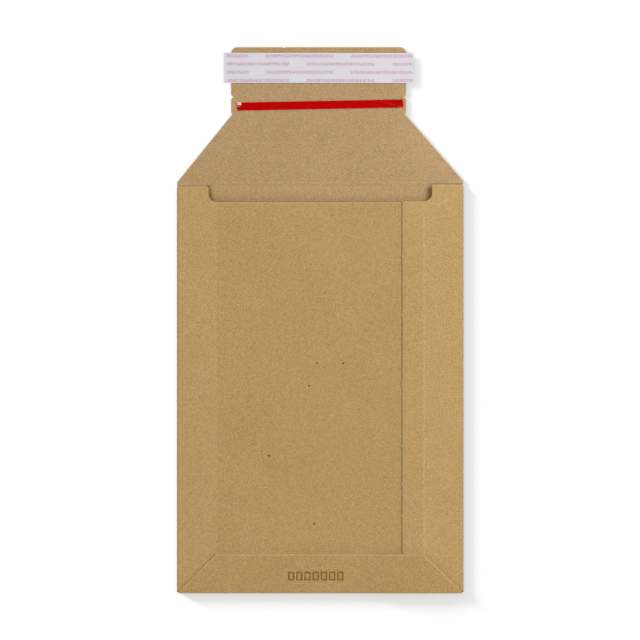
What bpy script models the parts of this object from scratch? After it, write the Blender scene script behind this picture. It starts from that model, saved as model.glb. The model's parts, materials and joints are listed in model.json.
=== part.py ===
"""An envelope of fine corrugated card, lying on its back with its closing flap open.

One die-cut blank makes it all. Its two wings fold in over the back panel and lap along a seam,
the bottom flap folds up over both, and the closing flap is the blank's own top end. The flap
carries a strip of adhesive under a release liner, and a tear tape between two pairs of notches.

Lengths are in metres. X runs across the envelope, Y up to the closing flap, Z out of the front.
"""

from math import atan, cos, hypot, pi, radians, sin

import bmesh
import bpy
from mathutils import Matrix, Vector

MM = 0.001

# Overall sizes, with the flap open
WIDTH = 245 * MM
BODY_LENGTH = 350 * MM
FLAP_LENGTH = 116.8 * MM
BOARD = 1.5 * MM

# How the empty envelope springs: the front stands off the back inside a sloping border
FOLD_GAP = 0.8 * MM
POCKET_GAP = 4.5 * MM
BORDER = 34 * MM
SEAT = 0.2 * MM
GLUE = 0.2 * MM

# The two wings, seen from the front
STRIP_REACH = 52.3 * MM
LAP = 18 * MM
EAR_WIDTH = 27 * MM
EAR_DROP = 2.0 * MM
RIGHT_EAR_DROP = 0.5 * MM
EAR_CORNER = 1.5 * MM
THROAT_DEPTH = 16.4 * MM
THROAT_FILLET = 7 * MM
RIGHT_THROAT_LIFT = 0.9 * MM
WING_END_GAP = 0.5 * MM
FOOT_GAP = 0.5 * MM

# The bottom flap, folded up over the wings and bent up beside the lapped strip
BOTTOM_FLAP = 33.3 * MM
BOTTOM_FLAP_CORNER = 2 * MM
BEND_LENGTH = 36 * MM
BEND_CLEARANCE = 4 * MM

# The closing flap
HINGE_GAP = 0.3 * MM
ROOT_INSET = 0.2 * MM
ROOT_RISE = {-1: 1.3 * MM, 1: 2.2 * MM}
HEAD_WIDTH = 149.7 * MM
HEAD_SHIFT = -1.4 * MM
HEAD_CORNER = 4.5 * MM
NOTCH_HEIGHT = 59.4 * MM
TEAR_BAND = 14.7 * MM
NOTCH_DEPTH = 1.9 * MM
TAPER_TUCK = 1.0 * MM
NOTCH_MOUTH = 3.6 * MM
NOTCH_TIP = 0.4 * MM
NOTCH_SHOULDER = 1.2 * MM
SCORE_HEIGHT = 35.2 * MM
SCORE_WIDTH = 1.6 * MM
SCORE_DEPTH = 0.25 * MM

# What the closing flap carries
ADHESIVE = (148 * MM, 12 * MM, 0.15 * MM)
LINER = (162.2 * MM, 25.7 * MM, 0.1 * MM)
LINER_FROM_TOP = 17.8 * MM
LINER_TURN = radians(-0.08)
TAPE = (143.6 * MM, 7 * MM, 0.12 * MM)
TAPE_TEETH = 3
TAPE_TOOTH = 1.4 * MM
TAPE_TURN = radians(1.08)
TAPE_RAISE = 0.5 * MM
TRIM_SEAT = 0.15 * MM
CLOSED_GAP = 0.3 * MM

# The hidden glue
SEAM_GLUE_WIDTH = 12 * MM
SEAM_GLUE_MARGIN = 6 * MM
HEM_GLUE = (105 * MM, 14 * MM)
HEM_GLUE_START = 8 * MM
HEM_GLUE_TUCK = 8 * MM

# Smoothness
FOLD_STEPS = 8
BEND_STEPS = 8
CORNER_STEPS = 5

# Places that follow from the sizes
BOTTOM = -(BODY_LENGTH + FLAP_LENGTH) / 2
HINGE_Y = BOTTOM + BODY_LENGTH
FOLD_RADIUS = (BOARD + FOLD_GAP) / 2
FOLD_INSET = BOARD / 2 + FOLD_RADIUS
FOLD_X = WIDTH / 2 - FOLD_INSET
FOLD_Y = BOTTOM + FOLD_INSET
RAMP = BORDER - FOLD_INSET
SCORE_X = FOLD_X - RAMP
LAYER = BOARD + 2 * SEAT + GLUE
BACK_LEVEL = BOARD / 2
LOW_LEVEL = BACK_LEVEL + 2 * FOLD_RADIUS
FRONT_LEVEL = BACK_LEVEL + BOARD + POCKET_GAP
FRONT_RISE = FRONT_LEVEL - LOW_LEVEL
SEAM_X = WIDTH / 2 - STRIP_REACH
LAP_X = SEAM_X + LAP
WING_END = BOTTOM + BOARD + WING_END_GAP
THROAT_Y = HINGE_Y - THROAT_DEPTH
EAR_X = WIDTH / 2 - EAR_WIDTH
SIDE_ALLOWANCE = pi * FOLD_RADIUS
HEM_ALLOWANCE = pi * (FOLD_RADIUS + (LOW_LEVEL + LAYER - BACK_LEVEL) / 2) / 2
HEM_TOP = BOTTOM + BOTTOM_FLAP
STRIP_TOP = FRONT_LEVEL + LAYER + BOARD / 2
TRIM_STACK = 2 * TRIM_SEAT + ADHESIVE[2] + LINER[2]
AXIS_Z = (STRIP_TOP + CLOSED_GAP + TRIM_STACK + BOARD) / 2


def share(value, span):
    """How far value has come along span, from 0 to 1."""
    return min(max(value / span, 0), 1)


def front_level(x, y):
    """Middle of the front board at x, y: low at the folds, level inside the border."""
    inside = min(FOLD_X - abs(x), y - FOLD_Y)
    return LOW_LEVEL + FRONT_RISE * share(inside, RAMP)


def strip_step(x):
    """Share of one layer by which the right wing stands above the left one at x."""
    return share(FOLD_X - x, RAMP)


def hem_step(x):
    """Share of one layer that the bottom flap climbs, to pass over the lapped strip."""
    if x > SCORE_X:
        return strip_step(x)
    along = share(x - (SEAM_X - BEND_CLEARANCE - BEND_LENGTH), BEND_LENGTH)
    return along * along * (3 - 2 * along)


def folded_wing(u, v):
    """Carries a point of a wing, flat at u, v, round its side fold and onto the front."""
    side = 1 if u > 0 else -1
    past = abs(u) - FOLD_X
    if past < SIDE_ALLOWANCE:
        angle = pi * past / SIDE_ALLOWANCE
        out = FOLD_X + FOLD_RADIUS * sin(angle)
        return Vector((side * out, v, BACK_LEVEL + FOLD_RADIUS * (1 - cos(angle))))
    x = side * (FOLD_X + SIDE_ALLOWANCE - past)
    level = front_level(x, v)
    if side > 0:
        level += LAYER * strip_step(x)
    return Vector((x, v, level))


def folded_hem(u, v):
    """Carries a point of the bottom flap, flat at u, v, round the bottom and up over the wings."""
    climb = LAYER * (1 + hem_step(u))
    past = FOLD_Y - v
    if past < HEM_ALLOWANCE:
        angle = pi * past / HEM_ALLOWANCE
        half_height = (LOW_LEVEL + climb - BACK_LEVEL) / 2
        out = FOLD_Y - FOLD_RADIUS * sin(angle)
        return Vector((u, out, BACK_LEVEL + half_height * (1 - cos(angle))))
    y = FOLD_Y + past - HEM_ALLOWANCE
    return Vector((u, y, front_level(0, y) + climb))


def folded(u, v):
    """Where the point u, v of the flat blank lies once it is folded."""
    if abs(u) > FOLD_X:
        return folded_wing(u, v)
    if v < FOLD_Y:
        return folded_hem(u, v)
    return Vector((u, v, BACK_LEVEL))


def wing_u(x, side):
    """Flat place of a wing's point that lies at x on the folded front."""
    return side * (2 * FOLD_X + SIDE_ALLOWANCE) - x


def hem_v(y):
    """Flat place of a bottom flap's point that lies at y on the folded front."""
    return 2 * FOLD_Y - HEM_ALLOWANCE - y


def rounded(corners):
    """Outline through corners given as (x, y, radius), each round one drawn as an arc."""
    points = []
    for i, (x, y, radius) in enumerate(corners):
        here = Vector((x, y))
        if not radius:
            points.append(here)
            continue
        before = (Vector(corners[i - 1][:2]) - here).normalized()
        after = (Vector(corners[(i + 1) % len(corners)][:2]) - here).normalized()
        half = before.angle(after) / 2
        middle = here + (before + after).normalized() * (radius / sin(half))
        start = here + before * (radius * cos(half) / sin(half)) - middle
        end = here + after * (radius * cos(half) / sin(half)) - middle
        turn = start.angle_signed(end)
        for step in range(CORNER_STEPS + 1):
            points.append(middle + Matrix.Rotation(-turn * step / CORNER_STEPS, 2) @ start)
    return points


def clear_scene():
    for obj in list(bpy.data.objects):
        bpy.data.objects.remove(obj)


def new_collection(name):
    group = bpy.data.collections.new(name)
    bpy.context.scene.collection.children.link(group)
    return group


def new_material(name, colour, roughness):
    material = bpy.data.materials.new(name)
    material.use_nodes = True
    shader = material.node_tree.nodes["Principled BSDF"]
    shader.inputs["Base Color"].default_value = (*colour, 1)
    shader.inputs["Roughness"].default_value = roughness
    shader.inputs["Metallic"].default_value = 0
    material.diffuse_color = (*colour, 1)
    return material


def add_object(name, data, group, material, parent=None):
    obj = bpy.data.objects.new(name, data)
    obj.parent = parent
    group.objects.link(obj)
    if material:
        data.materials.append(material)
    return obj


def outline_curve(name, points, thickness):
    """A flat outline given thickness, as a filled 2D curve about the plane z = 0."""
    curve = bpy.data.curves.new(name, "CURVE")
    curve.dimensions = "2D"
    curve.fill_mode = "BOTH"
    curve.extrude = thickness / 2
    spline = curve.splines.new("POLY")
    spline.points.add(len(points) - 1)
    for point, place in zip(spline.points, points):
        point.co = (place[0], place[1], 0, 1)
    spline.use_cyclic_u = True
    return curve


def block(name, size):
    """A box of this size about its own origin."""
    mesh = bpy.data.meshes.new(name)
    bm = bmesh.new()
    bmesh.ops.create_cube(bm, size=1, matrix=Matrix.Diagonal((*size, 1)))
    bm.to_mesh(mesh)
    bm.free()
    return mesh


def wing_outline(side, inner_x, ear_drop, throat_y):
    """Flat corners of one wing, from its ear at the side fold round to its bottom end."""
    ear = (wing_u(side * EAR_X, side), HINGE_Y - ear_drop, EAR_CORNER)
    throat = (wing_u(side * EAR_X, side), throat_y, THROAT_FILLET)
    edge = wing_u(inner_x, side)
    shoulder = side * (FOLD_X + SIDE_ALLOWANCE / 2)
    return [
        (side * FOLD_X, HINGE_Y - HINGE_GAP / 2, 0),
        (shoulder, HINGE_Y - ear_drop, 0),
        ear,
        throat,
        (edge, throat_y, 0),
        (edge, WING_END, 0),
        (side * (FOLD_X + SIDE_ALLOWANCE), WING_END, 0),
        (shoulder, BOTTOM + FOOT_GAP, 0),
        (side * FOLD_X, WING_END, 0),
    ]


def blank_outline():
    """The blank as the die cuts it, without the closing flap."""
    left_wing = wing_outline(-1, LAP_X, EAR_DROP, THROAT_Y)
    right_wing = wing_outline(1, SEAM_X, RIGHT_EAR_DROP, THROAT_Y + RIGHT_THROAT_LIFT)
    foot = SCORE_X + BOTTOM_FLAP - FOLD_INSET
    bottom_flap = [
        (-FOLD_X, FOLD_Y, 0),
        (-foot, hem_v(FOLD_Y), 0),
        (-SCORE_X, hem_v(HEM_TOP), BOTTOM_FLAP_CORNER),
        (SCORE_X, hem_v(HEM_TOP), BOTTOM_FLAP_CORNER),
        (foot, hem_v(FOLD_Y), 0),
        (FOLD_X, FOLD_Y, 0),
    ]
    return rounded(left_wing + bottom_flap + right_wing[::-1])


def score(bm, point, across, inside):
    """Cuts the faces whose middle is inside along the line through point, square to across."""
    faces = [face for face in bm.faces if inside(face.calc_center_median())]
    edges = {edge for face in faces for edge in face.edges}
    verts = {vert for face in faces for vert in face.verts}
    bmesh.ops.bisect_plane(
        bm,
        geom=[*verts, *edges, *faces],
        dist=1e-7,
        plane_co=(*point, 0),
        plane_no=(*across, 0),
    )


def score_blank(bm):
    """Marks every line that the board bends along, so that each face stays flat when folded."""
    for side in (-1, 1):
        for step in range(FOLD_STEPS + 1):
            u = side * (FOLD_X + SIDE_ALLOWANCE * step / FOLD_STEPS)
            score(bm, (u, 0), (1, 0), lambda middle: True)
        fold_end = side * (FOLD_X + SIDE_ALLOWANCE)
        score(bm, (wing_u(side * SCORE_X, side), 0), (1, 0), lambda middle: True)
        score(bm, (0, BOTTOM + BORDER), (0, 1), lambda middle: middle.x * side > FOLD_X)
        score(
            bm,
            (fold_end, FOLD_Y),
            (side, -1),
            lambda middle: middle.x * side > fold_end * side and middle.y < BOTTOM + BORDER,
        )
    for step in range(FOLD_STEPS + 1):
        v = FOLD_Y - HEM_ALLOWANCE * step / FOLD_STEPS
        score(bm, (0, v), (0, 1), lambda middle: abs(middle.x) < FOLD_X)
    bends = [SEAM_X - BEND_CLEARANCE - BEND_LENGTH * step / BEND_STEPS for step in range(BEND_STEPS + 1)]
    for u in [*bends, SCORE_X]:
        score(bm, (u, 0), (1, 0), lambda middle: middle.y < FOLD_Y)


def make_pocket(group, material):
    """Folds the scored blank and gives the board its thickness."""
    mesh = bpy.data.meshes.new("pocket")
    bm = bmesh.new()
    verts = [bm.verts.new((*point, 0)) for point in blank_outline()]
    edges = [bm.edges.new(pair) for pair in zip(verts, verts[1:] + verts[:1])]
    bmesh.ops.contextual_create(bm, geom=verts + edges)
    score_blank(bm)
    for vert in bm.verts:
        vert.co = folded(vert.co.x, vert.co.y)
    bmesh.ops.recalc_face_normals(bm, faces=bm.faces)
    bm.to_mesh(mesh)
    bm.free()
    mesh.shade_smooth()
    mesh.set_sharp_from_angle(angle=pi / 6)
    pocket = add_object("pocket", mesh, group, material)
    wall = pocket.modifiers.new("board", "SOLIDIFY")
    wall.thickness = BOARD
    wall.offset = 0
    wall.use_even_offset = True
    wall.use_quality_normals = True
    return pocket


def flap_side(side):
    """Corners up one side of the closing flap, measured from the hinge line."""
    root = side * (WIDTH / 2 - ROOT_INSET)
    edge = side * HEAD_WIDTH / 2 + HEAD_SHIFT
    band_end = NOTCH_HEIGHT + TEAR_BAND
    return [
        (root, HINGE_GAP / 2, 0),
        (root, ROOT_RISE[side], 0),
        (edge - side * TAPER_TUCK, NOTCH_HEIGHT, NOTCH_TIP),
        (edge, NOTCH_HEIGHT + NOTCH_MOUTH / 2, NOTCH_SHOULDER),
        (edge, band_end - NOTCH_MOUTH / 2, NOTCH_SHOULDER),
        (edge - side * NOTCH_DEPTH, band_end, NOTCH_TIP),
        (edge, band_end + NOTCH_MOUTH / 2, NOTCH_SHOULDER),
        (edge, FLAP_LENGTH, HEAD_CORNER),
    ]


def make_closing_flap(group, cutters, material, hinge):
    """The flap is cut flat and then scored across its inside, where a full envelope bends it."""
    points = rounded(flap_side(1) + flap_side(-1)[::-1])
    outline = bpy.data.objects.new("flap_outline", outline_curve("flap_outline", points, BOARD))
    group.objects.link(outline)
    bpy.context.view_layer.update()
    graph = bpy.context.evaluated_depsgraph_get()
    mesh = bpy.data.meshes.new_from_object(outline.evaluated_get(graph))
    bpy.data.objects.remove(outline)
    bm = bmesh.new()
    bm.from_mesh(mesh)
    bmesh.ops.remove_doubles(bm, verts=bm.verts, dist=1e-6)
    bm.to_mesh(mesh)
    bm.free()
    flap = add_object("closing_flap", mesh, group, material, hinge)
    flap.location.z = BACK_LEVEL - AXIS_Z

    radius = hypot(SCORE_WIDTH / 2, SCORE_DEPTH) ** 2 / (2 * SCORE_DEPTH)
    tool = bpy.data.meshes.new("score_rule")
    bm = bmesh.new()
    bmesh.ops.create_cone(
        bm,
        cap_ends=True,
        segments=48,
        radius1=radius,
        radius2=radius,
        depth=WIDTH * 2,
        matrix=Matrix.Rotation(pi / 2, 4, "Y"),
    )
    bm.to_mesh(tool)
    bm.free()
    rule = add_object("score_rule", tool, cutters, None, hinge)
    rule.location = (0, SCORE_HEIGHT, BOARD - AXIS_Z + radius - SCORE_DEPTH)
    rule.hide_render = True
    rule.display_type = "WIRE"
    cut = flap.modifiers.new("score", "BOOLEAN")
    cut.object = rule
    return flap


def tape_outline():
    """A band whose two ends were cut with a zig-zag blade."""
    length, width, _ = TAPE
    points = []
    for side in (1, -1):
        for tooth in range(2 * TAPE_TEETH + 1):
            reach = length / 2 - (TAPE_TOOTH if tooth % 2 else 0)
            along = width * (tooth / (2 * TAPE_TEETH) - 0.5)
            points.append((side * reach, side * along))
    return points


def make_trim(group, adhesive_material, liner_material, tape_material, hinge):
    """The adhesive, its liner and the tear tape, one above another on the flap's inside."""
    liner_y = FLAP_LENGTH - LINER_FROM_TOP
    face = BOARD - AXIS_Z
    adhesive = add_object(
        "adhesive_strip", block("adhesive_strip", ADHESIVE), group, adhesive_material, hinge
    )
    adhesive.location = (HEAD_SHIFT, liner_y, face + TRIM_SEAT + ADHESIVE[2] / 2)
    adhesive.rotation_euler.z = LINER_TURN
    liner = add_object("release_liner", block("release_liner", LINER), group, liner_material, hinge)
    liner.location = (HEAD_SHIFT, liner_y, face + TRIM_STACK - LINER[2] / 2)
    liner.rotation_euler.z = LINER_TURN
    band = outline_curve("tear_tape", tape_outline(), TAPE[2])
    tape = add_object("tear_tape", band, group, tape_material, hinge)
    tape_y = NOTCH_HEIGHT + TEAR_BAND / 2 + TAPE_RAISE
    tape.location = (0, tape_y, face + TRIM_SEAT + TAPE[2] / 2)
    tape.rotation_euler.z = TAPE_TURN


def make_glue(group, material):
    """One bead bonds the wings along the lap, another the bottom flap to the left wing."""
    seam_start = BOTTOM + BORDER + SEAM_GLUE_MARGIN
    seam_length = THROAT_Y - SEAM_GLUE_MARGIN - seam_start
    seam_size = (SEAM_GLUE_WIDTH, seam_length, GLUE)
    seam = add_object("side_seam_glue", block("side_seam_glue", seam_size), group, material)
    level = FRONT_LEVEL + BOARD / 2 + SEAT + GLUE / 2
    seam.location = (SEAM_X + LAP / 2, seam_start + seam_length / 2, level)

    hem_size = (*HEM_GLUE, GLUE)
    hem = add_object("bottom_flap_glue", block("bottom_flap_glue", hem_size), group, material)
    slope = FRONT_RISE / RAMP
    middle_y = FOLD_Y + HEM_GLUE_TUCK + HEM_GLUE[1] / 2
    normal = Vector((0, -slope, 1)).normalized()
    on_board = Vector((-SCORE_X + HEM_GLUE_START + HEM_GLUE[0] / 2, middle_y, front_level(0, middle_y)))
    hem.location = on_board + normal * (BOARD / 2 + SEAT + GLUE / 2)
    hem.rotation_euler.x = atan(slope)


def main():
    clear_scene()
    parts = new_collection("cardboard_envelope")
    cutters = new_collection("cutters")
    kraft = new_material("kraft_board", (0.48, 0.31, 0.12), 0.85)
    liner = new_material("liner_paper", (0.68, 0.71, 0.77), 0.45)
    film = new_material("red_film", (0.45, 0.002, 0.004), 0.25)
    tack = new_material("clear_adhesive", (0.85, 0.82, 0.72), 0.2)
    glue = new_material("cold_glue", (0.8, 0.76, 0.65), 0.5)

    hinge = bpy.data.objects.new("flap_hinge", None)
    hinge.location = (0, HINGE_Y, AXIS_Z)
    parts.objects.link(hinge)

    make_pocket(parts, kraft)
    make_glue(parts, glue)
    make_closing_flap(parts, cutters, kraft, hinge)
    make_trim(parts, tack, liner, film, hinge)


main()
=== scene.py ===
"""The looks of a corrugated card envelope that lies on its back with its closing flap open."""

import json

import bpy
import numpy as np
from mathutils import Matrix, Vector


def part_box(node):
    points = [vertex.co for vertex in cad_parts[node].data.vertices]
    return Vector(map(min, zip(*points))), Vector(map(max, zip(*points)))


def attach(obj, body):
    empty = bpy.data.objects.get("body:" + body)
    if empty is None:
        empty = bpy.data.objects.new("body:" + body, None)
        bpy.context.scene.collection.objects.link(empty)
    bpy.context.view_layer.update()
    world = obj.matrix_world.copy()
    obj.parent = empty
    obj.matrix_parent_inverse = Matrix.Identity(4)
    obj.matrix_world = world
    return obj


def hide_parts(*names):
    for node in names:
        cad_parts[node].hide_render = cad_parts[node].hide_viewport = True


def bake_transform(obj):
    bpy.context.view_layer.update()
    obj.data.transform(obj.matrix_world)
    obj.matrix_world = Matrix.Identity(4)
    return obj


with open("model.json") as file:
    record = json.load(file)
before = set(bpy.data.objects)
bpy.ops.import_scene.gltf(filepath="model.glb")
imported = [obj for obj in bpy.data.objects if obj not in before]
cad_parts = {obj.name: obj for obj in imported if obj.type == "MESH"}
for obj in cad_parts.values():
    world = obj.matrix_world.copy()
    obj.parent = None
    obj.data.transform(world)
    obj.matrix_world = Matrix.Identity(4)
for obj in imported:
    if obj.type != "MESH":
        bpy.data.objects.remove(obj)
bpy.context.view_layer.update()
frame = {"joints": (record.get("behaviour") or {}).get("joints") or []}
mm = 0.001

# The pocket's two liners. Corrugated board is two sheets of kraft paper glued to a fluted one.
# The blank is laid out flat as u, v and each point is carried round its folds, so that the
# wings lap on the front and the bottom flap lies over them, at the levels of the solid.
board = 1.5 * mm
paper = 0.22 * mm
fold_radius = 1.15 * mm
border = 34 * mm
layer = 2.1 * mm
pocket_gap = 4.5 * mm
half_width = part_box("pocket")[1].x
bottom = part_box("pocket")[0].y
hinge_y = frame["joints"][0]["pos_m"][1]
hinge_reach = 2 * mm
seam_x = half_width - 52.3 * mm
lap_x = seam_x + 18 * mm
ear_x = half_width - 27 * mm
ear_drop = {-1: 2.5 * mm, 1: 0.8 * mm}
ear_corner = 1.5 * mm
throat_depth = 15.95 * mm
throat_fillet = 7 * mm
right_lift = 0.6 * mm
foot_gap = 0.1 * mm
hem_height = 33.8 * mm
hem_corner = 2 * mm
hem_bend_start = seam_x - 40 * mm
hem_bend_end = seam_x - 4 * mm
upright_end = 60 * mm
left_lean_end = 60 * mm
nicks = np.array([54.5, 4.5, -54.6, -107.5, -140.1, -166.8]) * mm
nick_reach = 1.2 * mm
nick_width = 0.8 * mm
nick_fade = 1.2 * mm

fold_inset = board / 2 + fold_radius
fold_x = half_width - fold_inset
fold_y = bottom + fold_inset
ramp = border - fold_inset
score_x = fold_x - ramp
back_level = board / 2
low_level = back_level + 2 * fold_radius
front_rise = board + pocket_gap + back_level - low_level
side_allowance = np.pi * fold_radius
hem_allowance = np.pi * (fold_radius + (low_level + layer - back_level) / 2) / 2
wing_end = bottom + board + 0.5 * mm
wing_flat = 2 * fold_x + side_allowance


def smooth(t):
    """3t^2 - 2t^3, with t held between 0 and 1."""
    t = np.clip(t, 0, 1)
    return t * t * (3 - 2 * t)


def waviness(x, y):
    """Slow unevenness of the front: products and sums of long sines, some tenths of a mm high."""
    long = np.sin(31 * x + 17 * y + 0.6) * np.sin(23 * y - 9 * x)
    return (0.16 * long + 0.05 * np.sin(52 * x - 41 * y + 2.1)) * mm


def front_level(x, y):
    """Level of the front board: low at the folds and rising over the border to a flat middle."""
    inside = np.minimum(fold_x - np.abs(x), y - fold_y)
    share = np.clip(inside / ramp, 0, 1)
    return low_level + front_rise * share + waviness(x, y) * share


def strip_step(x):
    """Share of one layer by which the right wing stands above the left one."""
    return np.clip((fold_x - x) / ramp, 0, 1)


def hem_step(x):
    """Share of one layer that the bottom flap climbs to pass over the lapped strip."""
    inner = smooth((x - hem_bend_start) / (hem_bend_end - hem_bend_start))
    return np.where(x > score_x, strip_step(x), inner)


def folded(u, v):
    """Where flat points lie once folded: half circles at the sides and bottom, then the front."""
    side = np.where(u < 0, -1.0, 1.0)
    past = np.abs(u) - fold_x
    angle = np.pi * np.clip(past / side_allowance, 0, 1)
    around = past < side_allowance
    wing_x = side * (fold_x + side_allowance - past)
    on_front = front_level(wing_x, v) + layer * strip_step(wing_x) * (side > 0)
    round_x = side * (fold_x + fold_radius * np.sin(angle))
    round_z = back_level + fold_radius * (1 - np.cos(angle))

    down = fold_y - v
    turn = np.pi * np.clip(down / hem_allowance, 0, 1)
    climb = layer * (1 + hem_step(u))
    half_height = (low_level + climb - back_level) / 2
    hem_y = fold_y + down - hem_allowance
    curled = down < hem_allowance
    over = low_level + front_rise * np.clip((hem_y - fold_y) / ramp, 0, 1) + climb
    hem_z = np.where(curled, back_level + half_height * (1 - np.cos(turn)), over)

    wing = past > 0
    hem = (down > 0) & ~wing
    x = np.where(wing, np.where(around, round_x, wing_x), u)
    y = np.where(hem, np.where(curled, fold_y - fold_radius * np.sin(turn), hem_y), v)
    z = np.where(wing, np.where(around, round_z, on_front), np.where(hem, hem_z, back_level))
    return np.stack([x, y, z], axis=-1)


def near(places, reach, step):
    """Places on both sides of each given one, out to reach."""
    return np.add.outer(np.atleast_1d(places), np.arange(-reach, reach + step / 2, step)).ravel()


def thinned(places, least):
    """Sorted places without those that follow another by less than the least gap."""
    places = np.unique(np.round(places, 7))
    return places[np.concatenate([[True], np.diff(places) > least])]


def samples(low, high, spacing, *extra):
    """Places from low to high at an even spacing, with the extra ones that lie between."""
    even = np.linspace(low, high, int(np.ceil((high - low) / spacing)) + 1)
    every = np.concatenate([even, *map(np.atleast_1d, extra)])
    return thinned(every[(every >= low) & (every <= high)], 0.06 * mm)


def arc(x, y, radius, start, end, count):
    """Points on a circle about x, y from one angle in degrees to another."""
    a = np.radians(np.linspace(start, end, count))
    return np.stack([x + radius * np.cos(a), y + radius * np.sin(a)], axis=1)


def straight(x0, y0, x1, y1, count):
    """Evenly spaced points on a line, without its two ends."""
    t = np.linspace(0, 1, count + 2)[1:-1, None]
    return (1 - t) * [x0, y0] + t * [x1, y1]


def wing_top(side, inner_x):
    """Top outline of a wing on the front: its ear, down the throat's wall and along the throat."""
    top = hinge_y - ear_drop[side]
    floor = hinge_y - throat_depth + right_lift * (side > 0)
    points = [
        [[fold_x, top]],
        straight(fold_x, top, ear_x + ear_corner, top, 8),
        arc(ear_x + ear_corner, top - ear_corner, ear_corner, 90, 180, 7),
        straight(ear_x, top - ear_corner, ear_x, floor + throat_fillet, 3),
        arc(ear_x - throat_fillet, floor + throat_fillet, throat_fillet, 0, -90, 15),
        straight(ear_x - throat_fillet, floor, inner_x, floor, 8),
        [[inner_x, floor]],
    ]
    return np.concatenate(points)


def wing_columns(side, inner_x, edge_x):
    """For one wing: the |u| of its columns low down, and the flat place where each one ends.

    The columns are upright in the pocket's lower part. Above it they lean, so that they end
    spaced along the top outline as they are spaced below.
    """
    outline = wing_top(side, inner_x)
    run = np.concatenate([[0], np.cumsum(np.linalg.norm(np.diff(outline, axis=0), axis=1))])
    start, end = wing_flat - fold_x, wing_flat - inner_x
    low = start + (end - start) * run / run[-1]
    top_u = wing_flat - outline[:, 0]
    edge = wing_flat - edge_x
    column = samples(
        start,
        edge,
        4 * mm,
        low,
        near(wing_flat - score_x, 1.5 * mm, 0.3 * mm),
        edge - np.array([0.2, 0.5, 0.9, 1.4, 2.2]) * mm,
    )
    beyond = column > end
    ends_u = np.where(beyond, column, np.interp(column, low, top_u))
    ends_v = np.interp(column, low, outline[:, 1])
    bend = fold_x + side_allowance * np.linspace(0, 1, 13)[1:-1]
    column = np.concatenate([bend, column])
    ends_u = np.concatenate([bend, ends_u])
    back_end = max(ends_v[0], hinge_y - hinge_reach)
    ends_v = np.concatenate([np.linspace(back_end, ends_v[0], len(bend)), ends_v])
    return column, ends_u, ends_v


def blank_grid():
    """Flat places of a grid over the blank without its bottom flap: rows go up, columns across."""
    left = wing_columns(-1, left_lean_end, -lap_x)
    right = wing_columns(1, seam_x, seam_x)
    back = samples(-fold_x, fold_x, 5 * mm, near([-fold_x, fold_x], 2.8 * mm, 0.4 * mm))
    top = np.full(len(back), hinge_y - hinge_reach)
    column = np.concatenate([-left[0][::-1], back, right[0]])
    top_u = np.concatenate([-left[1][::-1], back, right[1]])
    top_v = np.concatenate([left[2][::-1], top, right[2]])
    rows = samples(
        fold_y,
        upright_end,
        5 * mm,
        near(bottom + border, 1.5 * mm, 0.3 * mm),
        near(nicks, 1.6 * mm, 0.25 * mm),
    )
    lean = 1 - (1 - np.linspace(0, 1, 19)[1:]) ** 1.6
    row = np.concatenate([rows, np.full(len(lean), upright_end)])[:, None]
    rise = np.concatenate([np.zeros(len(rows)), lean])[:, None]
    u = column + smooth(rise) * (top_u - column)
    v = row + rise * (top_v - upright_end)
    turn = np.pi * np.clip((np.abs(column) - fold_x) / side_allowance, 0, 1)
    foot = wing_end - (wing_end - bottom - foot_gap) * np.maximum(np.cos(turn), 0)
    v = np.where(row <= fold_y, np.where(np.abs(column) > fold_x + 1e-6, foot, v), v)
    notch = np.exp(-(((v[..., None] - nicks) / nick_width) ** 2)).sum(axis=-1)
    u = u + nick_reach * notch * np.exp((column - column[-1]) / nick_fade) * (column > 0)
    to_top = np.where(np.abs(column) > fold_x, (1 - rise) * (top_v - upright_end), 1.0)
    to_seam = np.where(column > 0, column[-1] - column, 1.0)
    return u, v, np.minimum(to_top, to_seam)


def hem_grid(across):
    """Flat places of a grid over the bottom flap, below the blank's columns across.

    Its half width narrows at 45 degrees from the fold, and on an arc at the two top corners. At
    the fold itself the distance to a cut is raised by 10 mm, so that nothing is crushed there.
    """
    length = hem_height - fold_inset
    foot = score_x + length
    corner_start = hem_corner * (1 - np.cos(np.pi / 4))
    turn = np.radians(np.linspace(45, 0, 7))
    near_top = length - np.array([2.2, 1.4, 1.0]) * mm
    below_corner = samples(0, length - corner_start, 3 * mm, near_top)[1:-1]
    down = np.concatenate(
        [
            hem_allowance * np.linspace(0, 1, 15),
            hem_allowance + below_corner,
            hem_allowance + length - hem_corner * (1 - np.cos(turn)),
        ]
    )
    flat = np.maximum(down - hem_allowance, 0)
    from_top = np.maximum(length - flat, 0)
    curled = fold_x + (foot - fold_x) * down / hem_allowance
    slope = np.where(down < hem_allowance, curled, foot - flat)
    chord = np.sqrt(np.maximum(hem_corner**2 - (hem_corner - from_top) ** 2, 0))
    rounded = score_x - hem_corner * np.tan(np.pi / 8) + chord
    half = np.where(from_top <= corner_start + 1e-7, rounded, slope)
    u = across[None, :] / fold_x * half[:, None]
    v = np.repeat((fold_y - down)[:, None], len(across), axis=1)
    to_slope = (half[:, None] - np.abs(u)) * np.sqrt(0.5)
    raised = 10 * mm * smooth(1 - flat / (3 * mm))[:, None]
    to_cut = np.minimum(to_slope, from_top[:, None]) + raised
    return u[::-1], v[::-1], to_cut[::-1]


def pressed(cut):
    """Share of the board's thickness left beside a cut edge: half at it, all from 2.2 mm in."""
    return 0.5 + 0.5 * smooth(cut / (2.2 * mm))


def facing(form, u, v):
    """Unit normals of a form, towards the envelope's inside: the cross product of its tangents."""
    step = 0.1 * mm
    across = form(u + step, v) - form(u - step, v)
    up = form(u, v + step) - form(u, v - step)
    normal = np.cross(across, up)
    return normal / np.linalg.norm(normal, axis=-1, keepdims=True)


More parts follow.
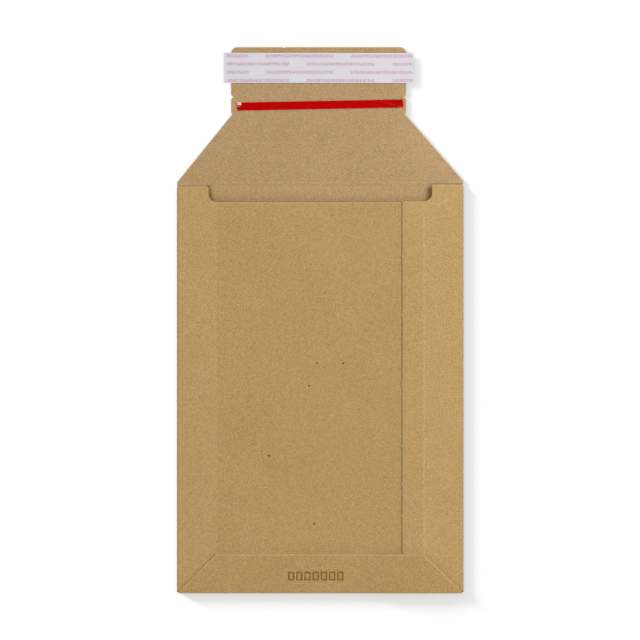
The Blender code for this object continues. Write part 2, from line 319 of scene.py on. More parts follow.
def sheet(name, form, grids, thickness):
    """An object of flat grids u, v, w: each point goes to form(u, v), and w along the normal.

    Grids are joined where they share points. The flat place is kept as the attribute flat, and
    the distance to the nearest cut edge, where a grid gives it, as the attribute cut.
    """
    points, flats, cuts, faces, count = [], [], [], [], 0
    for u, v, w, *cut in grids:
        w = w + 0 * u
        cuts.append((cut[0] if cut else 1.0 + 0 * u).ravel())
        points.append((form(u, v) + facing(form, u, v) * w[..., None]).reshape(-1, 3))
        flats.append(np.stack([u, v, w], axis=-1).reshape(-1, 3))
        i = count + np.arange(u.size).reshape(u.shape)
        cells = [i[:-1, :-1], i[:-1, 1:], i[1:, 1:], i[1:, :-1]]
        faces.append(np.stack(cells, axis=-1).reshape(-1, 4))
        count += u.size
    points, flats, cuts, faces = map(np.concatenate, (points, flats, cuts, faces))
    keys = np.round(flats / 1e-6).astype(np.int64)
    _, first, index = np.unique(keys, axis=0, return_index=True, return_inverse=True)
    mesh = bpy.data.meshes.new(name)
    mesh.from_pydata(points[first].tolist(), [], index.reshape(-1)[faces].tolist())
    flat = mesh.attributes.new("flat", "FLOAT_VECTOR", "POINT")
    flat.data.foreach_set("vector", flats[first].astype(np.float32).ravel())
    cut = mesh.attributes.new("cut", "FLOAT", "POINT")
    cut.data.foreach_set("value", cuts[first].astype(np.float32))
    mesh.validate()
    mesh.shade_smooth()
    piece = bpy.data.objects.new(name, mesh)
    bpy.context.scene.collection.objects.link(piece)
    wall = piece.modifiers.new("paper", "SOLIDIFY")
    wall.thickness = thickness
    wall.offset = 0
    crisp = piece.modifiers.new("crisp_rim", "EDGE_SPLIT")
    crisp.split_angle = np.radians(50)
    return piece


def new_material(name, colour, roughness):
    """A Principled material; returns it with its node tree and its shader."""
    material = bpy.data.materials.new(name)
    material.use_nodes = True
    tree = material.node_tree
    shader = tree.nodes["Principled BSDF"]
    shader.inputs["Base Color"].default_value = (*colour, 1)
    shader.inputs["Roughness"].default_value = roughness
    return material, tree, shader


def node(tree, kind, *values, **settings):
    """Adds a node with these settings and inputs, each a value or a socket; gives its output."""
    made = tree.nodes.new("ShaderNode" + kind)
    for name, value in settings.items():
        setattr(made, name, value)
    for socket, value in zip(made.inputs, values):
        if isinstance(value, bpy.types.NodeSocket):
            tree.links.new(value, socket)
        elif value is not None:
            socket.default_value = value
    return made.outputs[0]


def maths(tree, operation, *values):
    """The result of a Math node."""
    return node(tree, "Math", *values, operation=operation)


def vectors(tree, operation, *values):
    """The vector result of a Vector Math node."""
    return node(tree, "VectorMath", *values, operation=operation)


def scaled(tree, vector, factor):
    """A vector or colour times the factor."""
    return vectors(tree, "SCALE", vector, None, None, factor)


def ramped(tree, value, low, high, start=0.0, end=1.0):
    """The value carried smoothly from low..high to start..end."""
    return node(tree, "MapRange", value, low, high, start, end, interpolation_type="SMOOTHSTEP")


def noise(tree, place, scale, detail=3.0, roughness=0.5):
    """Cloudy noise about 0.5, of this many cells to the metre."""
    made = tree.nodes.new("ShaderNodeTexNoise")
    tree.links.new(place, made.inputs["Vector"])
    made.inputs["Scale"].default_value = scale
    made.inputs["Detail"].default_value = detail
    made.inputs["Roughness"].default_value = roughness
    return made.outputs["Fac"]


def attribute(tree, name, output):
    """A mesh attribute, as the named output of its node."""
    made = tree.nodes.new("ShaderNodeAttribute")
    made.attribute_name = name
    return made.outputs[output]


def flat_place(tree):
    """The piece's flat coordinates, from its attribute."""
    return attribute(tree, "flat", "Vector")


def line(tree, place, start, end, width):
    """1 on the flat line from start to end, and 0 from half a width beside it.

    The nearest point of the line is start plus its share of the span, and the mask falls with
    the distance to it.
    """
    span = np.array([end[0] - start[0], end[1] - start[1], 0])
    level = vectors(tree, "MULTIPLY", place, (1, 1, 0))
    from_start = vectors(tree, "SUBTRACT", level, (*start, 0))
    dot = vectors(tree, "DOT_PRODUCT", from_start, span / max(span @ span, 1e-12))
    share = node(tree, "Clamp", dot.node.outputs["Value"])
    gap = vectors(tree, "DISTANCE", from_start, scaled(tree, span, share))
    return ramped(tree, gap.node.outputs["Value"], 0.0, width / 2, 1.0, 0.0)


def summed(tree, values):
    """The sum of several sockets."""
    total = values[0]
    for value in values[1:]:
        total = maths(tree, "ADD", total, value)
    return total


def flecks(tree, place, scale, radius, rarity):
    """Small dots at random places: 1 near the middle of the rare cells of a Voronoi pattern."""
    cells = tree.nodes.new("ShaderNodeTexVoronoi")
    tree.links.new(place, cells.inputs["Vector"])
    cells.inputs["Scale"].default_value = scale
    pick = node(tree, "SeparateXYZ", cells.outputs["Color"])
    dot = ramped(tree, cells.outputs["Distance"], radius * 0.5, radius, 1.0, 0.0)
    return maths(tree, "MULTIPLY", dot, maths(tree, "GREATER_THAN", pick, 1 - rarity))


def bumped(tree, shader, height, distance, strength=1.0):
    """Tilts the shader's normal as a relief would: the height times the distance."""
    bump = tree.nodes.new("ShaderNodeBump")
    bump.inputs["Distance"].default_value = distance
    bump.inputs["Strength"].default_value = strength
    tree.links.new(height, bump.inputs["Height"])
    tree.links.new(bump.outputs["Normal"], shader.inputs["Normal"])


# How far inside each cut the pale line lies: crushed fibres and a painted highlight.
crush_and_highlight_inset = 0.5 * mm


def kraft(name, colour, painted_lines=(), specks=(), changes=()):
    """Kraft paper: a colour moved by a tone of cloudy and fibrous noise, flecks and painted lines.

    The tone is multiplied by 0.6 times the colour to the power 0.545, so that a pale or dark
    fibre moves all three channels by about the same step to the eye. A painted line is the start,
    end, width and added tone of a line of painted light or painted shade, and a speck is the place
    of a dark bundle of fibres. Changes are functions that give a tone to add from the flat place:
    print, painted light and painted shade. Just inside each cut edge a pale line is painted:
    partly the crushed edge's paler fibres, partly a painted highlight where the edge meets the
    light.
    """
    material, tree, shader = new_material(name, colour, 0.85)
    shader.inputs["Specular IOR Level"].default_value = 0.25
    place = flat_place(tree)
    cloud = noise(tree, place, 14.0, 2.0)
    mottle = noise(tree, place, 330.0, 2.0, 0.5)
    stretched = vectors(tree, "MULTIPLY", place, (1, 0.45, 1))
    fibre = noise(tree, stretched, 1900.0, 3.0, 0.6)
    fine = noise(tree, place, 2600.0, 2.0, 0.6)
    tone = summed(
        tree,
        [
            ramped(tree, cloud, 0.3, 0.7, -0.02, 0.02),
            ramped(tree, mottle, 0.25, 0.75, -0.03, 0.03),
            ramped(tree, fibre, 0.25, 0.75, -0.23, 0.23),
            ramped(tree, fine, 0.25, 0.75, -0.36, 0.36),
            maths(tree, "MULTIPLY", flecks(tree, place, 700.0, 0.27, 0.19), 0.46),
            maths(tree, "MULTIPLY", flecks(tree, stretched, 760.0, 0.27, 0.18), -0.46),
            maths(tree, "MULTIPLY", flecks(tree, place, 130.0, 0.09, 0.14), -0.45),
            maths(tree, "MULTIPLY", flecks(tree, place, 150.0, 0.1, 0.12), 0.25),
        ],
    )
    # A pale line just inside each cut: partly the crushed edge's paler fibres, partly a painted
    # highlight.
    past_edge = maths(tree, "SUBTRACT", attribute(tree, "cut", "Fac"), crush_and_highlight_inset)
    crush_and_highlight = ramped(tree, maths(tree, "ABSOLUTE", past_edge), 0.0, 0.75 * mm, 1.0, 0.0)
    tone = maths(tree, "MULTIPLY_ADD", crush_and_highlight, 0.22, tone)
    for start, end, width, change in painted_lines:
        mask = line(tree, place, start, end, width)
        tone = maths(tree, "MULTIPLY_ADD", mask, change, tone)
    for at in specks:
        tone = maths(tree, "MULTIPLY_ADD", line(tree, place, at, at, 2.5 * mm), -1.5, tone)
    for change in changes:
        tone = maths(tree, "ADD", tone, change(tree, place))
    hue = tree.nodes.new("ShaderNodeMix")
    hue.data_type = "RGBA"
    hue.inputs["A"].default_value = (*np.multiply(colour, (1.018, 0.995, 0.955)), 1)
    hue.inputs["B"].default_value = (*np.multiply(colour, (0.982, 1.005, 1.045)), 1)
    tree.links.new(ramped(tree, noise(tree, place, 100.0, 3.0), 0.3, 0.7), hue.inputs["Factor"])
    fibres = scaled(tree, 0.6 * np.power(colour, 0.545), tone)
    toned = vectors(tree, "ADD", hue.outputs["Result"], fibres)
    darkest = (0.02, 0.015, 0.008)
    tree.links.new(vectors(tree, "MAXIMUM", toned, darkest), shader.inputs["Base Color"])
    relief = maths(tree, "MULTIPLY_ADD", mottle, 0.03, maths(tree, "MULTIPLY", fibre, 0.02))
    bumped(tree, shader, relief, 1 * mm, 0.6)
    return material


def wing_point(side, x, y):
    """Flat place of the front's point x, y on the wing of this side."""
    return side * (wing_flat - side * x), y


def painted_light_wings(tree, place):
    """Tone of the outside: painted light that makes the right wing and the left wing's border
    paler; 0 elsewhere.
    """
    across = node(tree, "SeparateXYZ", place)
    right = ramped(tree, across, fold_x, fold_x + side_allowance, 0.0, 0.065)
    border_end = wing_flat - score_x
    left = ramped(tree, across, -border_end - 1 * mm, -border_end + 1 * mm, 0.0, 0.09)
    left_end = ramped(tree, across, -fold_x - side_allowance, -fold_x, 0.0, -0.09)
    return summed(tree, [right, left, left_end])


def painted_light_right(tree, place):
    """Painted light: the inside is a little paler towards its right fold."""
    return ramped(tree, node(tree, "SeparateXYZ", place), 40 * mm, 110 * mm, 0.0, 0.09)


box_half = (1.45 * mm, 3.15 * mm)
box_pitch = 7 * mm
box_count = 7
box_row_middle = (-3.8 * mm, 2 * fold_y - hem_allowance + 218.3 * mm)


def box_row(tree, place):
    """A row of plain printed boxes on the bottom flap: dark on their outlines and 0 elsewhere.

    The distance to an outline is the larger of the distances past the box's half width and half
    height, from the box's middle, and its sign is dropped.
    """
    row_half = box_count * box_pitch / 2
    across = node(tree, "SeparateXYZ", vectors(tree, "SUBTRACT", place, (*box_row_middle, 0)))
    beside = maths(tree, "PINGPONG", maths(tree, "ADD", across, row_half), box_pitch / 2)
    past_side = maths(tree, "SUBTRACT", box_half[0], beside)
    above = maths(tree, "ABSOLUTE", across.node.outputs[1])
    past_top = maths(tree, "SUBTRACT", above, box_half[1])
    outline = maths(tree, "ABSOLUTE", maths(tree, "MAXIMUM", past_side, past_top))
    inked = ramped(tree, outline, 0.55 * mm, 0.8 * mm, 1.0, 0.0)
    from_middle = maths(tree, "ABSOLUTE", across)
    in_row = ramped(tree, from_middle, row_half - 0.1 * mm, row_half, 1.0, 0.0)
    return maths(tree, "MULTIPLY", maths(tree, "MULTIPLY", inked, in_row), -0.6)


outside_kraft = (0.455, 0.292, 0.112)
# The pocket's inside has a paler colour than the flap's inside, though it is the same paper:
# painted light against the shade in the throat.
painted_light_inside_kraft = (0.476, 0.311, 0.146)
score_y = bottom + border
hem_length = hem_height - fold_inset
hem_foot = fold_y - hem_allowance
hem_edge_painted_light = bottom + hem_height + 0.6 * mm
hem_wide_painted_light = bottom + hem_height + 2.2 * mm
seam_painted_shadow, seam_painted_light = seam_x - 0.45 * mm, seam_x - 1.3 * mm
bottom_fold_highlight = fold_y - 0.65 * hem_allowance
flap_score = 35.2 * mm
score_line = hinge_y + flap_score
past_sides = 130 * mm
score_turn = 87 * mm
# The outside's painted lines: pale lines on the hinge and the flap's score, painted as the light
# on their creases; a painted highlight along the bottom fold's round; on the left wing a painted
# light band beside the seam and the seam's painted shadow; and painted light on both wings above
# the bottom flap, against the shade of its edge.
painted_lines = [
    ((-fold_x, hinge_y), (fold_x, hinge_y), 2.6 * mm, 0.08),
    ((-past_sides, score_line), (past_sides, score_line), 2.6 * mm, 0.06),
    ((-fold_x, bottom_fold_highlight), (fold_x, bottom_fold_highlight), 4 * mm, 0.2),
    (wing_point(-1, seam_painted_light, bottom), wing_point(-1, seam_painted_light, hinge_y), 3 * mm, 0.17),
    (wing_point(-1, seam_painted_shadow, bottom), wing_point(-1, seam_painted_shadow, hinge_y), 1.6 * mm, -0.32),
    (wing_point(-1, -score_x, hem_edge_painted_light), wing_point(-1, seam_x, hem_edge_painted_light), 2.4 * mm, 0.25),
    (wing_point(-1, hem_bend_start, hem_wide_painted_light), wing_point(-1, seam_x, hem_wide_painted_light), 5 * mm, 0.1),
    (wing_point(1, seam_x, hem_edge_painted_light), wing_point(1, score_x, hem_edge_painted_light), 3 * mm, 0.27),
]
# Painted highlights along both mitres of the bottom flap, and pale lines painted along the wings'
# scores as the light on their creases, stronger on the right, where the light is brighter.
for side, change in ((-1, 0.03), (1, 0.13)):
    mitre_foot = (side * (score_x + hem_length), hem_foot)
    painted_lines.append((mitre_foot, (side * score_x, hem_foot - hem_length), 1.8 * mm, 0.35))
    turn = wing_point(side, side * score_x, score_turn)
    painted_lines += [
        (wing_point(side, side * score_x, score_y), turn, 2.4 * mm, change),
        (turn, wing_point(side, side * fold_x, hinge_y - 4 * mm), 2.4 * mm, 0.6 * change),
    ]
speck_places = [(-2.6, -36.9), (19.8, -36.9), (-9.5, -56), (-43.5, -115.7), (-5.1, -173.8)]
specks = [wing_point(-1, x * mm, y * mm) for x, y in speck_places]
outer_material = kraft("kraft_outside", outside_kraft, painted_lines, specks, (painted_light_wings, box_row))
throat_y = hinge_y - throat_depth
left_line, right_line = hinge_y - 2.1 * mm, hinge_y - 0.2 * mm
# The inside's painted light and shade: pale bands and painted shadow lines along the two ears,
# and painted shade along the throat's right wall, which the flap's fold shares; then painted
# shade along the throat's left wall and painted shadow along its two edges.
mouth_painted_light_and_shade = [
    ((-fold_x, left_line + 1 * mm), (-ear_x - 3 * mm, left_line + 1 * mm), 5 * mm, 0.26),
    ((-fold_x, left_line), (-ear_x, left_line), 1.4 * mm, -0.4),
    ((ear_x, right_line + 2 * mm), (fold_x, right_line + 2 * mm), 7 * mm, 0.12),
    ((ear_x, right_line), (fold_x, right_line), 1.4 * mm, -0.5),
    ((ear_x, hinge_y - 4.5 * mm), (ear_x, throat_y + throat_fillet), 13 * mm, -0.36),
]
left_foot = (0.3 * throat_fillet - ear_x, throat_y + 0.3 * throat_fillet)
right_edge = throat_y + right_lift
inside_painted_light_and_shade = [
    ((-ear_x, hinge_y - 3 * mm), left_foot, 8 * mm, -0.4),
    *mouth_painted_light_and_shade,
    ((throat_fillet - ear_x, throat_y), (seam_x, throat_y), 2.2 * mm, -0.35),
    ((seam_x, right_edge), (ear_x, right_edge), 2.2 * mm, -0.3),
]
inner_material = kraft("kraft_inside", painted_light_inside_kraft, inside_painted_light_and_shade, (), (painted_light_right,))

offset = (board - paper) / 2
blank_u, blank_v, blank_cut = blank_grid()
on_back = np.abs(blank_u[0]) <= fold_x + 1e-6
hem_u, hem_v, hem_cut = hem_grid(blank_u[0][on_back])
outer, inner = (
    sheet(
        name,
        folded,
        [
            (u, v, offset * (1 - share * pressed(cut)), cut)
            for u, v, cut in ((blank_u, blank_v, blank_cut), (hem_u, hem_v, hem_cut))
        ],
        paper,
    )
    for name, share in (("pocket_outer_liner", 2), ("pocket_inner_liner", 0))
)
outer.data.materials.append(outer_material)
inner.data.materials.append(inner_material)

# The pocket's fluting: a wavy paper between the liners, which shows wherever the board is cut.
# Its flutes run up the envelope. A ribbon of it follows each cut edge, a little way in.
flute_pitch = 3.4 * mm
flute_paper = 0.18 * mm
flute_height = (board - 2 * paper - flute_paper) / 2
ribbon_lines = np.array([0.05, 0.8, 1.6]) * mm
medium_kraft = (0.36, 0.22, 0.095)


def ribbon(u, v, inward, left=np.ones(3)):
    """Flat places of a band along the edge points u, v, with its w a sine of u.

    Inward is +1 or -1: the side of the edge, walked from its first point, on which the board is.
    Left is the share of the thickness at the band's three lines.
    """
    run = np.concatenate([[0], np.cumsum(np.hypot(np.diff(u), np.diff(v)))])
    step = samples(0, run[-1], 0.3 * mm)
    u, v = np.interp(step, run, u), np.interp(step, run, v)
    du, dv = np.gradient(u, step), np.gradient(v, step)
    length = np.hypot(du, dv)
    depth = ribbon_lines[:, None]
    u = u - depth * inward * dv / length
    v = v + depth * inward * du / length
    left = left[:, None]
    return u, v, (1 - left) * offset + left * flute_height * np.sin(2 * np.pi * u / flute_pitch)


top_left = blank_u[-1] < -fold_x - side_allowance
top_right = blank_u[-1] > fold_x + side_allowance
cut_edges = [
    ribbon(u, v, inward, pressed(ribbon_lines))
    for u, v, inward in (
        (blank_u[-1][top_left], blank_v[-1][top_left], -1),
        (blank_u[-1][top_right], blank_v[-1][top_right], -1),
        (blank_u[:, -1], blank_v[:, -1], 1),
        (blank_u[:, 0], blank_v[:, 0], -1),
        (hem_u[:, 0], hem_v[:, 0], -1),
        (hem_u[0], hem_v[0], 1),
        (hem_u[:, -1], hem_v[:, -1], 1),
    )
]
pocket_flutes = sheet("pocket_fluting", folded, cut_edges, flute_paper)
medium_material = kraft("kraft_medium", medium_kraft)
pocket_flutes.data.materials.append(medium_material)
for piece in (outer, inner, pocket_flutes):
    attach(piece, "pocket")
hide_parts("pocket")

# The closing flap: the same board, die-cut with two V notches on each side that end the tear
# band, and scored across where a full envelope bends it. It lies open, so its inside shows.
flap_length = 116.8 * mm
root_half = half_width - 0.2 * mm
head_half = 149.7 * mm / 2
head_shift = -1.4 * mm
head_corner = 5.5 * mm
root_rise = {-1: 1.3 * mm, 1: 2.2 * mm}
lower_notch = 59.4 * mm
upper_notch = lower_notch + 14.7 * mm
taper_tuck = 1.0 * mm
notch_depth = 1.9 * mm
notch_mouth = 3.6 * mm
head_nick, head_nick_share = -31 * mm, 0.287
head_nick_depth = 0.8 * mm
flap_inside_kraft = (0.447, 0.291, 0.139)


def flap_side(height, side):
    """The flap's edge at a height above the hinge.

    It rises from the hinge, tapers straight to the lower notch's tip and goes up again to the
    top, less a V with an eased mouth at each notch and a quarter circle at the top corner.
    """
    edge = head_half + side * head_shift
    tip = edge - taper_tuck
    climb = (lower_notch - height) / (lower_notch - root_rise[side])
    taper = tip + (root_half - tip) * np.clip(climb, 0, 1)
    lower, upper = (
        (1 - np.clip(np.abs(height - at) / (0.58 * notch_mouth), 0, 1)) ** 1.25
        for at in (lower_notch, upper_notch)
    )
    out = np.where(height < lower_notch, taper, edge - taper_tuck * lower - notch_depth * upper)
    over = np.clip(height - (flap_length - head_corner), 0, head_corner)
    return side * (out - (head_corner - np.sqrt(head_corner**2 - over**2)))


def lying(u, v):
    """The open flap and the hinge strip lie flat at the back board's level."""
    return np.stack([u, v, back_level + 0 * u], axis=-1)


heights = samples(
    hinge_reach,
    flap_length,
    5 * mm,
    near([lower_notch, upper_notch], 2.1 * mm, 0.15 * mm),
    root_rise[1],
    flap_length - head_corner * (1 - np.sin(np.linspace(0, np.pi / 2, 12))),
    near(flap_score, 1.6 * mm, 0.4 * mm),
)
near_sides = [0.003, 0.006, 0.01, 0.99, 0.994, 0.997]
share = samples(0, 1, 0.03, near_sides, near(head_nick_share, 0.016, 0.002))
left, right = flap_side(heights, -1)[:, None], flap_side(heights, 1)[:, None]
flap_u = left + share * (right - left)
flap_v = np.repeat(hinge_y + heights[:, None], len(share), axis=1)
nicked = np.exp(-(((flap_u - head_nick) / nick_width) ** 2))
flap_v -= head_nick_depth * nicked * np.exp((heights[:, None] - flap_length) / nick_fade)
to_side = np.minimum(flap_u - left, right - flap_u)
flap_cut = np.minimum(to_side, hinge_y + flap_length - flap_v) + crush_and_highlight_inset
hinge_line = hinge_y + 1 * mm
# Pale lines painted on the hinge and the flap's score as the light on their creases, and the
# mouth's painted light and shade, which the fold's inside shares.
flap_painted_lines = [
    ((-past_sides, score_line), (past_sides, score_line), 2.6 * mm, 0.05),
    ((-past_sides, hinge_line), (past_sides, hinge_line), 2.6 * mm, 0.08),
    *mouth_painted_light_and_shade,
]
flap_inside = kraft("kraft_flap_inside", flap_inside_kraft, flap_painted_lines, (), (painted_light_right,))
flap_outer = sheet("flap_outer_liner", lying, [(flap_u, flap_v, -offset, flap_cut)], paper)
flap_inner = sheet("flap_inner_liner", lying, [(flap_u, flap_v, offset, flap_cut)], paper)
flap_edges = [
    ribbon(flap_u[:, 0], flap_v[:, 0], -1),
    ribbon(flap_u[:, -1], flap_v[:, -1], 1),
    ribbon(flap_u[-1], flap_v[-1], -1),
]
flap_flutes = sheet("flap_fluting", lying, flap_edges, flute_paper)
for piece, finish in (
    (flap_outer, outer_material),
    (flap_inner, flap_inside),
    (flap_flutes, medium_material),
):
    piece.data.materials.append(finish)
    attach(piece, "flap")
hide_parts("closing_flap")

# The fold between pocket and flap: the board's two liners run on across the hinge line, and
# the flutes are crushed there, so that the flap turns on it.
fold_v = samples(hinge_y - hinge_reach, hinge_y + hinge_reach, 0.25 * mm)[:, None]


def fold_side(side):
    """The fold's edge on a side: the back board's beside the ear, and the flap's above it."""
    over_ear = smooth((fold_v - hinge_y + ear_drop[side]) / (0.4 * mm))
    return side * fold_x + over_ear * (flap_side(fold_v - hinge_y, side) - side * fold_x)


left, right = fold_side(-1), fold_side(1)
fold_u = left + np.linspace(0, 1, 61) * (right - left)
fold_v = fold_v + 0 * fold_u
for name, w, finish in (
    ("fold_outer_liner", -offset, outer_material),
    ("fold_inner_liner", offset, flap_inside),
):
    fold = sheet(name, lying, [(fold_u, fold_v, w)], paper)
    fold.data.materials.append(finish)
    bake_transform(fold)

# The release liner: siliconised white paper over the adhesive, printed with rows of pale mauve
# bars. It stands a little proud of the adhesive, and its edges curl up slightly.
liner_length, liner_width, liner_paper = 162.2 * mm, 25.7 * mm, 0.1 * mm
liner_centre = (head_shift, hinge_y + flap_length - 17.8 * mm)
liner_level = 2.0 * mm
liner_turn = np.radians(-0.08)


def turned(u, v, centre, angle):
    """Points u, v turned by an angle and moved to a centre."""
    x = centre[0] + u * np.cos(angle) - v * np.sin(angle)
    y = centre[1] + u * np.sin(angle) + v * np.cos(angle)
    return x, y


def liner_form(u, v):
    """The liner: turned a little, with a slow ripple along it and its long edges lifted."""
    x, y = turned(u, v, liner_centre, liner_turn)
    ripple = 0.05 * np.sin(70 * u + 0.7) * np.sin(110 * v + 0.4)
    lift = 0.10 * smooth((np.abs(v) - 9 * mm) / (3.5 * mm))
    return np.stack([x, y, liner_level + (ripple + lift) * mm], axis=-1)


def band(half_length, half_width, across=17, along=121):
    """Flat places of a plain rectangle."""
    u = np.linspace(-half_length, half_length, along)[None, :] + np.zeros((across, 1))
    v = np.linspace(-half_width, half_width, across)[:, None] + np.zeros((1, along))
    return u, v, 0.0


def spans(tree, value, pairs, edge):
    """1 where the value lies inside one of the pairs low, high, with soft ends."""
    masks = []
    for low, high in pairs:
        rise = ramped(tree, value, low - edge, low + edge)
        fall = ramped(tree, value, high - edge, high + edge, 1.0, 0.0)
        masks.append(maths(tree, "MULTIPLY", rise, fall))
    return summed(tree, masks)


liner_white = (0.692, 0.678, 0.715)
liner_material, tree, shader = new_material("release_paper", liner_white, 0.42)
place = flat_place(tree)
across = node(tree, "SeparateXYZ", place)
up = across.node.outputs[1]
odd_rows, even_rows = np.array([10.1, -3.7]) * mm, np.array([3.3, -10.7]) * mm
odd_spans = np.array([(-78.7, -59.9), (-45.4, 12.8), (27.3, 80.3)]) * mm
even_spans = np.array([(-78.7, -24.9), (-10.3, 48.3), (63.2, 80.3)]) * mm
bar_half = 1.35 * mm
printed = []
for middles, lengths in ((odd_rows, odd_spans), (even_rows, even_spans)):
    in_row = spans(tree, up, [(at - bar_half, at + bar_half) for at in middles], 0.12 * mm)
    in_length = spans(tree, across, lengths, 0.1 * mm)
    printed.append(maths(tree, "MULTIPLY", in_row, in_length))
leaning = maths(tree, "MULTIPLY_ADD", up, -0.35, across)
wave = maths(tree, "PINGPONG", leaning, 1.05 * mm)
bars = ramped(tree, wave, 0.3 * mm, 0.42 * mm, 1.0, 0.0)
blots = ramped(tree, noise(tree, place, 1100.0, 1.0), 0.52, 0.56)
bars = maths(tree, "MAXIMUM", bars, blots)
ink = maths(tree, "MULTIPLY", summed(tree, printed), bars)
grain = ramped(tree, noise(tree, place, 700.0, 3.0, 0.6), 0.25, 0.75, 0.96, 1.03)
over_paper = tree.nodes.new("ShaderNodeMix")
over_paper.data_type = "RGBA"
tree.links.new(maths(tree, "MULTIPLY", ink, 0.87), over_paper.inputs["Factor"])
tree.links.new(scaled(tree, liner_white, grain), over_paper.inputs["A"])
over_paper.inputs["B"].default_value = (0.57, 0.27, 0.43, 1)
tree.links.new(over_paper.outputs["Result"], shader.inputs["Base Color"])
release = sheet("release_paper", liner_form, [band(liner_length / 2, liner_width / 2)], liner_paper)
release.data.materials.append(liner_material)
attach(release, "flap")
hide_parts("release_liner")

# The adhesive: a strip of clear transfer glue on the flap's inside, under the release liner. It
# keeps the fine ripples of its coating.
adhesive_half = (74 * mm, 6 * mm)
adhesive_level, adhesive_film = 1.725 * mm, 0.13 * mm


def adhesive_form(u, v):
    """A flat strip, turned with the liner, whose face ripples by hundredths of a mm."""
    x, y = turned(u, v, liner_centre, liner_turn)
    ripple = 0.02 * np.sin(900 * u) * np.sin(1300 * v)
    return np.stack([x, y, adhesive_level + ripple * mm], axis=-1)


tack_material, tree, shader = new_material("clear_tack", (0.80, 0.77, 0.68), 0.12)
shader.inputs["Transmission Weight"].default_value = 0.3
bumped(tree, shader, noise(tree, flat_place(tree), 900.0), 0.05 * mm)
tack = sheet("clear_tack", adhesive_form, [band(*adhesive_half, 25, 201)], adhesive_film)
tack.data.materials.append(tack_material)
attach(tack, "flap")
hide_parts("adhesive_strip")

# The tear tape: a glossy red film glued between the two pairs of notches. A blade with three
# teeth cut its ends, its left tip has come up, and it wrinkles towards the right.
tape_half, tape_width = 143.6 * mm / 2, 7 * mm
tape_teeth, tape_tooth = 3, 1.4 * mm
tape_centre = (0, hinge_y + (lower_notch + upper_notch) / 2 + 0.5 * mm)
tape_turn = np.radians(1.08)
tape_level, tape_film = 1.71 * mm, 0.1 * mm
tip_start = 67.2 * mm


def tape_form(u, v):
    """The tape: its left tip raised at the top, two slanted wrinkles and rippled long edges.

    The wrinkles are bell curves of the distance to two slanted lines near the right end.
    """
    x, y = turned(u, v, tape_centre, tape_turn)
    past = np.maximum(-u - tip_start, 0)
    tip = 0.28 * past * smooth((v + 0.7 * mm) / (2.2 * mm))
    slant = u - 57.6 * mm + 3.3 * v
    first = 0.16 * np.exp(-((slant / (2.2 * mm)) ** 2))
    second = 0.06 * np.exp(-(((slant - 8 * mm) / (2 * mm)) ** 2))
    wavy = 1 + np.sin(260 * u + 3 * np.sin(60 * u))
    edge = 0.05 * smooth((np.abs(v) - 2.4 * mm) / (1 * mm)) * wavy
    return np.stack([x, y, tape_level + tip + (first + second + edge) * mm], axis=-1)


def tape_grid():
    """Flat places of the tape, with its half length a zig-zag of its place across."""
    v = np.linspace(-tape_width / 2, tape_width / 2, 8 * tape_teeth + 1)[:, None]
    phase = (v / tape_width + 0.5) * 2 * tape_teeth
    tooth = 1 - np.abs(phase % 2 - 1)
    half = tape_half - tape_tooth * tooth
    u = np.linspace(-1, 1, 401)[None, :] * half
    return u, v + 0 * u, 0.0


film_red = (0.5, 0.0005, 0.0006)
film_material, tree, shader = new_material("red_film", film_red, 0.2)
shader.inputs["Specular IOR Level"].default_value = 0.3
shader.inputs["Coat IOR"].default_value = 1.9
shader.inputs["Coat Roughness"].default_value = 0.06
place = flat_place(tree)
along = maths(tree, "ABSOLUTE", node(tree, "SeparateXYZ", place))
tree.links.new(ramped(tree, along, 55 * mm, 67 * mm, 0.08, 1.0), shader.inputs["Coat Weight"])
drawn = noise(tree, vectors(tree, "MULTIPLY", place, (0.15, 1, 1)), 1500.0, 2.0)
streaked = scaled(tree, film_red, ramped(tree, drawn, 0.3, 0.7, 0.93, 1.05))
tree.links.new(streaked, shader.inputs["Base Color"])
bumped(tree, shader, drawn, 0.02 * mm)
film = sheet("red_tear_film", tape_form, [tape_grid()], tape_film)
film.data.materials.append(film_material)
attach(film, "flap")
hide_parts("tear_tape")

# The glue: cold starch glue rolled on in two beads and pressed flat between the boards, one
# along the lapped wings and one under the bottom flap. Their edges squeezed out unevenly.
glue_film = 0.16 * mm


def pressed_bead(name, low, high, form):
    """A bead over the rectangle low..high of the front, with its long and short edges wavy."""
    u = np.linspace(low[0], high[0], 41)[None, :]
    v = np.linspace(low[1], high[1], 41)[:, None]
    du, dv = u - (low[0] + high[0]) / 2, v - (low[1] + high[1]) / 2
    wide = 0.94 + 0.05 * np.sin(v / (high[1] - low[1]) * 47)
    tall = 0.94 + 0.05 * np.sin(u / (high[0] - low[0]) * 43)
    grid = (u - du * (1 - wide), v - dv * (1 - tall), 0.0)
    bead = sheet(name, form, [grid], glue_film)
    bead.data.materials.append(glue_material)
    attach(bead, "pocket")
    return bead


def on_left_wing(x, y):
    """The level halfway between the left wing and the layer that lies on it."""
    return np.stack([x, y, front_level(x, y) + layer / 2], axis=-1)


glue_tan = (0.72, 0.66, 0.52)
glue_material, tree, shader = new_material("dried_glue", glue_tan, 0.45)
lumps = ramped(tree, noise(tree, flat_place(tree), 500.0), 0.3, 0.7, 0.85, 1.08)
tree.links.new(scaled(tree, glue_tan, lumps), shader.inputs["Base Color"])
for name, node_name in (("lap_glue", "side_seam_glue"), ("hem_glue", "bottom_flap_glue")):
    low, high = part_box(node_name)
    bead = pressed_bead(name, (low.x, low.y), (high.x, high.y), on_left_wing)
    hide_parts(node_name)

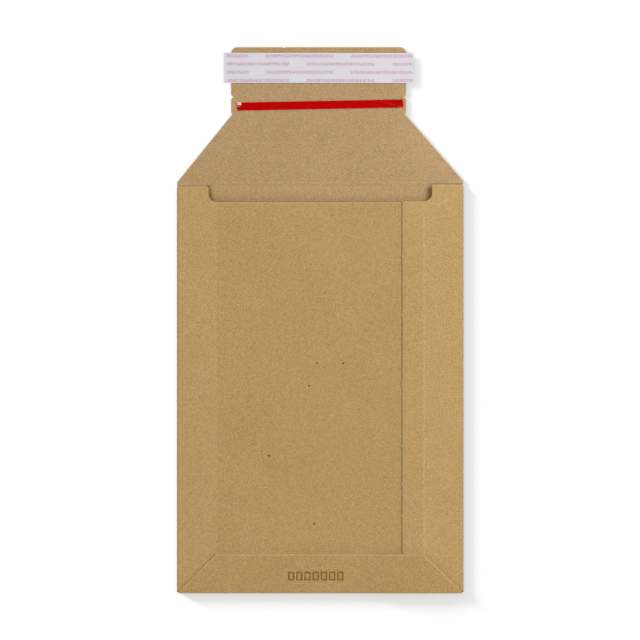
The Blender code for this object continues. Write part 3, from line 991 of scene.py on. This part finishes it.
# The floor: a plain white sweep. Its own lamp, up on the left, gives it the soft shadow that
# falls to the right and below, and the envelope is lit from the upper right.
floor_reach, floor_level = 6.0, -0.2 * mm
corners = [floor_reach * np.array(corner) for corner in ((-1, -1), (1, -1), (1, 1), (-1, 1))]
floor_mesh = bpy.data.meshes.new("floor")
floor_mesh.from_pydata([(x, y, floor_level) for x, y in corners], [], [(0, 1, 2, 3)])
floor = bpy.data.objects.new("floor", floor_mesh)
bpy.context.scene.collection.objects.link(floor)
floor_material, tree, shader = new_material("floor_white", (0.5, 0.5, 0.5), 0.95)
shader.inputs["Specular IOR Level"].default_value = 0.0
rays = tree.nodes.new("ShaderNodeLightPath")
seen = maths(tree, "MAXIMUM", rays.outputs["Is Camera Ray"], rays.outputs["Is Glossy Ray"])
seen = maths(tree, "MAXIMUM", seen, rays.outputs["Is Transmission Ray"])
shader.inputs["Emission Color"].default_value = (1, 1, 1, 1)
tree.links.new(maths(tree, "MULTIPLY", seen, 0.455), shader.inputs["Emission Strength"])
floor_mesh.materials.append(floor_material)

# The light: a pale room, a wide soft lamp from the upper right on the envelope alone, and one
# from the upper left on the floor alone.
scene = bpy.context.scene
scene.view_settings.view_transform = "Standard"
world = bpy.data.worlds.new("room")
scene.world = world
world.use_nodes = True
tree = world.node_tree
sky = tree.nodes["Background"]
rays = tree.nodes.new("ShaderNodeLightPath")
direction = node(tree, "TexCoord").node.outputs["Generated"]
upward = node(tree, "SeparateXYZ", direction).node.outputs["Z"]
room = ramped(tree, upward, 0.88, 0.95, 0.845, 0.01)
plain = maths(tree, "SUBTRACT", 1.0, rays.outputs["Is Camera Ray"])
light = maths(tree, "MULTIPLY_ADD", room, plain, rays.outputs["Is Camera Ray"])
tree.links.new(light, sky.inputs["Strength"])
sky.inputs["Color"].default_value = (1, 1, 1, 1)


def soft_lamp(name, lamp, azimuth, elevation, distance):
    """Hangs a lamp at this azimuth and elevation in degrees, facing the origin."""
    held = bpy.data.objects.new(name, lamp)
    scene.collection.objects.link(held)
    a, e = np.radians(azimuth), np.radians(elevation)
    held.location = distance * np.array([np.cos(a) * np.cos(e), np.sin(a) * np.cos(e), np.sin(e)])
    held.rotation_euler = held.location.to_track_quat("Z", "Y").to_euler()
    return held


wide_light = bpy.data.lights.new("object_lamp", "AREA")
wide_light.shape = "DISK"
wide_light.size = 0.7
wide_light.energy = 7.8
object_lamp = soft_lamp("object_lamp", wide_light, 32, 50, 1.4)
low_light = bpy.data.lights.new("floor_lamp", "SUN")
low_light.angle = np.radians(16)
low_light.energy = 6.2
floor_lamp = soft_lamp("floor_lamp", low_light, 147, 14, 2)
for lamp, state in ((object_lamp, "EXCLUDE"), (floor_lamp, "INCLUDE")):
    lit = bpy.data.collections.new(f"lit_by_{lamp.name}")
    lit.objects.link(floor)
    lit.collection_objects[0].light_linking.link_state = state
    lamp.light_linking.receiver_collection = lit

# The camera looks straight down with a long lens. The photograph shows 0.855 mm per pixel, and
# the envelope's middle is a fraction of a pixel off the frame's.
pixel, picture_width = 0.855 * mm, 640
camera_data = bpy.data.cameras.new("camera")
camera_data.lens = 200
camera_data.sensor_width = 36
camera = bpy.data.objects.new("camera", camera_data)
scene.collection.objects.link(camera)
distance = picture_width * pixel * camera_data.lens / camera_data.sensor_width
camera.location = (-0.2 * pixel, 0.1 * pixel, distance + 1.5 * mm)
camera_data.clip_end = 20
scene.camera = camera
